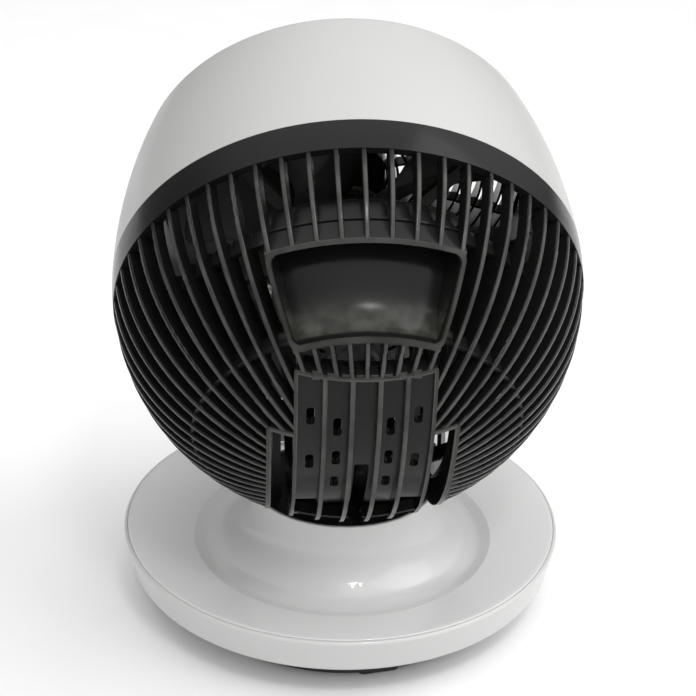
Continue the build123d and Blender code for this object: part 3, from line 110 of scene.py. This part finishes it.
def plastic(name, base, rough, spread=0.05, tint=0.04, grain=1500.0, depth=0.00002, dust=0.0, dust_colour=(0.5, 0.5, 0.48),
            coat=0.0, ior=1.46, wave=0.0, shine=0.5, coat_rough=0.12):
    """Moulded plastic: cloudy gloss, fine grain and a little dust on what faces up."""
    m = Nodes(name)
    cloud = m.noise(14.0, 3.0, 0.5)
    light = tuple(min(1.0, c * (1 + tint)) for c in base)
    dark = tuple(c * (1 - tint) for c in base)
    tone = m.mix(m.ramp(cloud, "Fac", 0, 1), "Result", dark, light)
    colour = tone
    if dust:
        geo = m.add("ShaderNodeNewGeometry")
        split = m.add("ShaderNodeSeparateXYZ")
        m.link(geo, "Normal", split, "Vector")
        up = m.ramp(split, "Z", 0.0, 1.0, 0.35, 1.0)
        speck = m.noise(420.0, 3.0, 0.7)
        where = m.ramp(speck, "Fac", 0.0, dust, 0.46, 0.72)
        both = m.add("ShaderNodeMath", operation="MULTIPLY")
        m.link(up, "Result", both, 0)
        m.link(where, "Result", both, 1)
        colour = m.mix(both, "Value", tone.outputs[2], dust_colour)
    m.tree.links.new(colour.outputs[2], m.bsdf.inputs["Base Color"])
    gloss = m.noise(46.0, 3.0, 0.5)
    m.link(m.ramp(gloss, "Fac", max(0.02, rough - spread), min(1.0, rough + spread)), "Result", m.bsdf, "Roughness")
    fine = m.noise(grain, 2.0, 0.5)
    b = m.bump(fine, "Fac", depth, 0.6)
    if wave:
        b = m.bump(m.noise(22.0, 2.0, 0.5), "Fac", wave, 0.5, under=b)
    m.link(b, "Normal", m.bsdf, "Normal")
    m.set(IOR=ior)
    if coat:
        m.bsdf.inputs["Coat Weight"].default_value = coat
        m.bsdf.inputs["Coat Roughness"].default_value = coat_rough
    m.bsdf.inputs["Specular IOR Level"].default_value = shine
    return m.mat


def metal(name, base, rough, stretch=(1, 1, 1), scratch=260.0, depth=0.00001, stain=0.12):
    """Bare or plated metal with fine scratches and a dull bloom."""
    m = Nodes(name)
    bloom = m.noise(60.0, 5.0, 0.65)
    tone = m.mix(m.ramp(bloom, "Fac", 0, 1), "Result", tuple(c * (1 - stain) for c in base), base)
    m.tree.links.new(tone.outputs[2], m.bsdf.inputs["Base Color"])
    lines = m.noise(scratch, 6.0, 0.7, stretch=stretch)
    m.link(m.ramp(lines, "Fac", max(0.05, rough - 0.1), rough + 0.1), "Result", m.bsdf, "Roughness")
    m.link(m.bump(lines, "Fac", depth, 0.6), "Normal", m.bsdf, "Normal")
    m.set(Metallic=1.0)
    return m.mat


def clear(name):
    m = Nodes(name)
    haze = m.noise(80.0, 3.0, 0.5)
    m.link(m.ramp(haze, "Fac", 0.08, 0.2), "Result", m.bsdf, "Roughness")
    tone = m.mix(m.ramp(haze, "Fac", 0, 1), "Result", (0.30, 0.32, 0.34), (0.38, 0.40, 0.42))
    m.tree.links.new(tone.outputs[2], m.bsdf.inputs["Base Color"])
    m.link(m.bump(haze, "Fac", 0.00001, 0.4), "Normal", m.bsdf, "Normal")
    m.bsdf.inputs["Transmission Weight"].default_value = 0.35
    m.set(IOR=1.49)
    return m.mat


def paint_crest_highlights(look, obj, radius, colour):
    """Painted highlights on the crests where the ribs reach the outer sphere, and a painted reflection on the floor of
    the hand-hold.
    """
    back = obj.matrix_world.inverted()
    middle = back @ CENTRE
    rear = (back.to_3x3() @ REAR).normalized()
    tall = (back.to_3x3() @ UP).normalized()
    side = tall.cross(rear).normalized()
    tree = look.node_tree
    bsdf = next(n for n in tree.nodes if n.type == "BSDF_PRINCIPLED")
    before = bsdf.inputs["Base Color"].links[0].from_socket
    coord = tree.nodes.new("ShaderNodeTexCoord")
    arm = tree.nodes.new("ShaderNodeVectorMath")
    arm.operation = "SUBTRACT"
    arm.inputs[1].default_value = middle
    tree.links.new(coord.outputs["Object"], arm.inputs[0])
    reach = tree.nodes.new("ShaderNodeVectorMath")
    reach.operation = "LENGTH"
    tree.links.new(arm.outputs["Vector"], reach.inputs[0])
    depth = tree.nodes.new("ShaderNodeVectorMath")
    depth.operation = "DOT_PRODUCT"
    depth.inputs[1].default_value = rear
    tree.links.new(arm.outputs["Vector"], depth.inputs[0])

    def window(source, lo, hi, low, high):
        r = tree.nodes.new("ShaderNodeMapRange")
        r.interpolation_type = "SMOOTHSTEP"
        for k, v in (("From Min", lo), ("From Max", hi), ("To Min", low), ("To Max", high)):
            r.inputs[k].default_value = v
        tree.links.new(source, r.inputs["Value"])
        return r.outputs["Result"]

    crest_highlight_breakup = tree.nodes.new("ShaderNodeTexNoise")
    crest_highlight_breakup.inputs["Scale"].default_value = 70.0
    crest_highlight_breakup.inputs["Detail"].default_value = 3.0
    tree.links.new(coord.outputs["Object"], crest_highlight_breakup.inputs["Vector"])

    def along(axis):
        d = tree.nodes.new("ShaderNodeVectorMath")
        d.operation = "DOT_PRODUCT"
        d.inputs[1].default_value = axis
        tree.links.new(arm.outputs["Vector"], d.inputs[0])
        return d.outputs["Value"]

    def absolute(source):
        m = tree.nodes.new("ShaderNodeMath")
        m.operation = "ABSOLUTE"
        tree.links.new(source, m.inputs[0])
        return m.outputs["Value"]

    def product(parts):
        total = parts[0]
        for p in parts[1:]:
            m = tree.nodes.new("ShaderNodeMath")
            m.operation = "MULTIPLY"
            tree.links.new(total, m.inputs[0])
            tree.links.new(p, m.inputs[1])
            total = m.outputs["Value"]
        return total

    def tint(under, mask, shade):
        mix = tree.nodes.new("ShaderNodeMix")
        mix.data_type = "RGBA"
        mix.inputs[7].default_value = (*shade, 1.0)
        tree.links.new(mask, mix.inputs[0])
        tree.links.new(under, mix.inputs[6])
        return mix.outputs[2]

    far, height = reach.outputs["Value"], along(tall)
    # Painted highlight: paler rib crests at the outer sphere, broken up by noise.
    crest = product((window(far, radius - 0.00035, radius + 0.00002, 0.0, 1.0),
                     window(far, radius + 0.0001, radius + 0.00025, 1.0, 0.55),
                     window(depth.outputs["Value"], 0.018, 0.030, 0.0, 1.0),
                     window(crest_highlight_breakup.outputs["Fac"], 0.3, 0.7, 0.45, 1.0)))
    # Painted reflection: a paler, blotchy patch on the hand-hold floor, standing in for the sky it reflects.
    reflection_breakup = tree.nodes.new("ShaderNodeTexNoise")
    reflection_breakup.inputs["Scale"].default_value = 120.0
    reflection_breakup.inputs["Detail"].default_value = 2.0
    tree.links.new(coord.outputs["Object"], reflection_breakup.inputs["Vector"])
    floor_painted_reflection = product((window(depth.outputs["Value"], 0.068, 0.092, 0.0, 1.0),
                          window(height, 0.066, 0.069, 0.0, 1.0),
                          window(absolute(along(side)), 0.036, 0.042, 1.0, 0.0),
                          window(far, radius - 0.0045, radius - 0.0025, 1.0, 0.0),
                          window(reflection_breakup.outputs["Fac"], 0.3, 0.7, 0.35, 1.0)))
    colour_now = tint(before, floor_painted_reflection, (0.070, 0.070, 0.060))
    tree.links.new(tint(colour_now, crest, colour), bsdf.inputs["Base Color"])


looks = {
    "shell_white": plastic("shell_white_look", (0.475, 0.479, 0.471), 0.40, 0.03, 0.008, 1300.0, 0.000012, coat=0.08),
    "base_white": plastic("base_white_look", (0.66, 0.663, 0.657), 0.30, 0.02, 0.006, 1300.0, 0.000006, coat=0.5, coat_rough=0.035),
    "guard_black": plastic("guard_black_look", (0.0075, 0.008, 0.0075), 0.20, 0.04, 0.12, 1500.0, 0.000008, dust=0.04, dust_colour=(0.045, 0.045, 0.042), shine=0.23),
    "foot_black": plastic("foot_black_look", (0.016, 0.016, 0.016), 0.5, 0.06, 0.12, 1100.0, 0.00004, dust=0.1, dust_colour=(0.12, 0.12, 0.115)),
    "foot_rubber": plastic("foot_rubber_look", (0.028, 0.027, 0.026), 0.78, 0.06, 0.2, 700.0, 0.00006, dust=0.25, dust_colour=(0.14, 0.13, 0.12)),
    "inner_black": plastic("inner_black_look", (0.014, 0.0145, 0.014), 0.46, 0.06, 0.12, 1300.0, 0.00003, dust=0.06, dust_colour=(0.1, 0.1, 0.1)),
    "impeller_black": plastic("impeller_black_look", (0.018, 0.0185, 0.018), 0.40, 0.06, 0.12, 1300.0, 0.00003, dust=0.10, dust_colour=(0.14, 0.14, 0.13)),
    "steel_zinc": metal("steel_zinc_look", (0.60, 0.60, 0.57), 0.32, (1, 1, 6)),
    "steel_pressed": metal("steel_pressed_look", (0.42, 0.42, 0.41), 0.42, (6, 1, 1)),
    "motor_paint": plastic("motor_paint_look", (0.022, 0.022, 0.024), 0.34, 0.08, 0.1, 900.0, 0.00004),
    "ballast_iron": metal("ballast_iron_look", (0.20, 0.19, 0.18), 0.66, (1, 1, 1), 500.0, 0.0002, 0.4),
    "bush_nylon": plastic("bush_nylon_look", (0.62, 0.59, 0.52), 0.48, 0.05, 0.05, 900.0, 0.00002),
    "gear_nylon": plastic("gear_nylon_look", (0.66, 0.64, 0.56), 0.44, 0.05, 0.05, 900.0, 0.00002),
    "copper_winding": metal("copper_winding_look", (0.62, 0.24, 0.09), 0.36, (1, 30, 1), 160.0, 0.0002),
    "lamination": metal("lamination_look", (0.30, 0.30, 0.31), 0.5, (1, 40, 1), 120.0, 0.0001),
    "board_green": plastic("board_green_look", (0.02, 0.12, 0.05), 0.3, 0.05, 0.2, 500.0, 0.00004),
    "panel_grey": plastic("panel_grey_look", (0.030, 0.031, 0.032), 0.2, 0.04, 0.08, 1500.0, 0.00001, coat=0.4),
    "button_grey": plastic("button_grey_look", (0.50, 0.50, 0.49), 0.4, 0.05, 0.03, 1500.0, 0.00001),
    "lens_clear": clear("lens_clear_look"),
}
slot_of = {s["node"]: s.get("material_slot", s["node"]) for s in frame["record"]["subparts"]}
for name, obj in nodes.items():
    look = looks[slot_of[name]]
    if not obj.material_slots:
        obj.data.materials.append(look)
    for s in obj.material_slots:
        s.material = look

# Painted shade: a darker copy of the base white for the tray's side band, holding down the light it gets from the
# floor and the key.
band_painted_shade = plastic("base_band_painted_shade_look", (0.54, 0.543, 0.537), 0.30, 0.02, 0.006, 1300.0, 0.000006, coat=0.5, coat_rough=0.035)
for s in nodes["base_tray"].material_slots:
    s.material = band_painted_shade
# Painted highlights on the guard's rib crests and a painted reflection on its hand-hold floor.
paint_crest_highlights(looks["guard_black"], nodes["rear_guard"], RIB_R, (0.070, 0.071, 0.067))

# ------------------------------------------------------------ floor, backdrop
bpy.ops.mesh.primitive_plane_add(size=14.0, location=(0, 0, 0))
floor = bpy.context.object
floor.name = "floor"
paper = Nodes("floor_paper")
mottle = paper.noise(9.0, 3.0, 0.5)
tone = paper.mix(paper.ramp(mottle, "Fac", 0, 1), "Result", (0.87, 0.87, 0.87), (0.885, 0.885, 0.885))
paper.tree.links.new(tone.outputs[2], paper.bsdf.inputs["Base Color"])
paper.set(Roughness=0.85)
floor.data.materials.append(paper.mat)

# ---------------------------------------------------------------------- light
# A wide soft light from above and behind the camera, a key on the camera's right
# and a small lamp above the camera for the crisp highlights.
world = bpy.data.worlds.new("studio")
scene.world = world
world.use_nodes = True
wt = world.node_tree
backdrop = wt.nodes["Background"]
where = wt.nodes.new("ShaderNodeTexCoord")
facing = wt.nodes.new("ShaderNodeVectorMath")
facing.operation = "DOT_PRODUCT"
facing.inputs[1].default_value = Vector((-0.24, 0.22, 0.94)).normalized()
lift = wt.nodes.new("ShaderNodeMapRange")
lift.interpolation_type = "SMOOTHSTEP"
for k, v in (("From Min", -0.05), ("From Max", 0.95), ("To Min", SKY_LOW), ("To Max", SKY_HIGH)):
    lift.inputs[k].default_value = v
wt.links.new(where.outputs["Generated"], facing.inputs[0])
wt.links.new(facing.outputs["Value"], lift.inputs["Value"])
wt.links.new(lift.outputs["Result"], backdrop.inputs["Strength"])
backdrop.inputs["Color"].default_value = (1.0, 1.0, 1.0, 1.0)


def softbox(name, place, aim, width, height, power, shape="RECTANGLE"):
    data = bpy.data.lights.new(name, "AREA")
    data.shape = shape
    data.size, data.size_y = width, height
    data.energy = power
    lamp = bpy.data.objects.new(name, data)
    scene.collection.objects.link(lamp)
    lamp.location = place
    lamp.rotation_mode = "QUATERNION"
    lamp.rotation_quaternion = (Vector(aim) - Vector(place)).to_track_quat("-Z", "Y")
    return lamp


softbox("key", (-1.25, 0.35, 1.55), (0, 0, 0.15), 1.5, 1.5, KEY)
softbox("lamp", (-0.19, 0.76, 1.34), (0, 0, 0.05), 0.26, 0.15, LAMP, "ELLIPSE")

# --------------------------------------------------------------------- camera
# Fitted to the photograph: the head's outline, the guard's ribs and the base disc.
DIST, ELEV, SIDEWAYS = 0.7436, math.radians(22.70), math.radians(4.55)
ROLL, PAN, TIP, FOCAL = math.radians(1.316), 0.0011, -0.0433, 1382.5
away = Vector((math.sin(SIDEWAYS) * math.cos(ELEV), math.cos(SIDEWAYS) * math.cos(ELEV), math.sin(ELEV)))
fwd = -away
right = fwd.cross(Vector((0, 0, 1))).normalized()
up = right.cross(fwd)
f2 = fwd * math.cos(PAN) + right * math.sin(PAN)
r2 = f2.cross(up).normalized()
f3 = f2 * math.cos(TIP) + up * math.sin(TIP)
u3 = r2.cross(f3)
r4 = r2 * math.cos(ROLL) + u3 * math.sin(ROLL)
u4 = u3 * math.cos(ROLL) - r2 * math.sin(ROLL)
cam_data = bpy.data.cameras.new("camera")
cam_data.sensor_width = 36.0
cam_data.lens = 36.0 * FOCAL / 696.0
cam_data.clip_start, cam_data.clip_end = 0.01, 60.0
camera = bpy.data.objects.new("camera", cam_data)
scene.collection.objects.link(camera)
place = CENTRE + away * DIST
camera.matrix_world = Matrix(((r4.x, u4.x, -f3.x, place.x), (r4.y, u4.y, -f3.y, place.y), (r4.z, u4.z, -f3.z, place.z), (0, 0, 0, 1)))
scene.camera = camera
